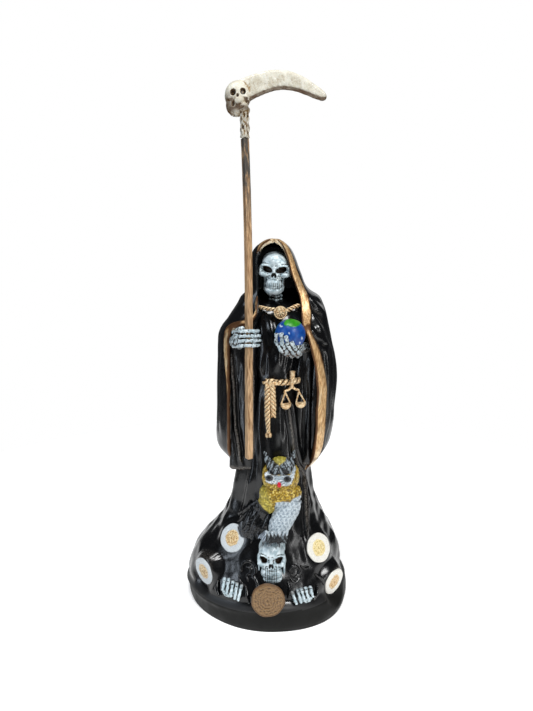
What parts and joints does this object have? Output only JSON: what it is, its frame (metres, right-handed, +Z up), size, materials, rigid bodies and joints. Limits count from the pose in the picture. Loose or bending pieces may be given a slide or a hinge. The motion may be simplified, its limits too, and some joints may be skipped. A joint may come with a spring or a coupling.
{
  "type": "santa muerte figure",
  "caption": "hooded skeleton saint statuette in a black cloak with gold edges, holding a globe and a long scythe, on a round base with an owl, a small skull and coins",
  "frame": {"origin": "middle of the flat underside of the round base, on the surface that the figure stands on", "axes": "+Z up; the figure's face looks along -Y; +X is the right side as a viewer in front sees it"},
  "size_m": [0.1613, 0.1648, 0.4908],
  "materials": {
    "painted_resin": "cast resin under gloss black enamel, with gold, silver-white, blue, green and yellow hand-painted parts",
    "bronzed_wood": "square softwood strip brushed with bronze paint, worn grey near its top",
    "ivory_resin": "cast ivory resin with a fine pearl sparkle and brown wash in its hollows"
  },
  "bodies": {
    "root": {"figure": "painted_resin", "scythe_shaft": "bronzed_wood", "scythe_head": "ivory_resin"}
  },
  "joints": []
}
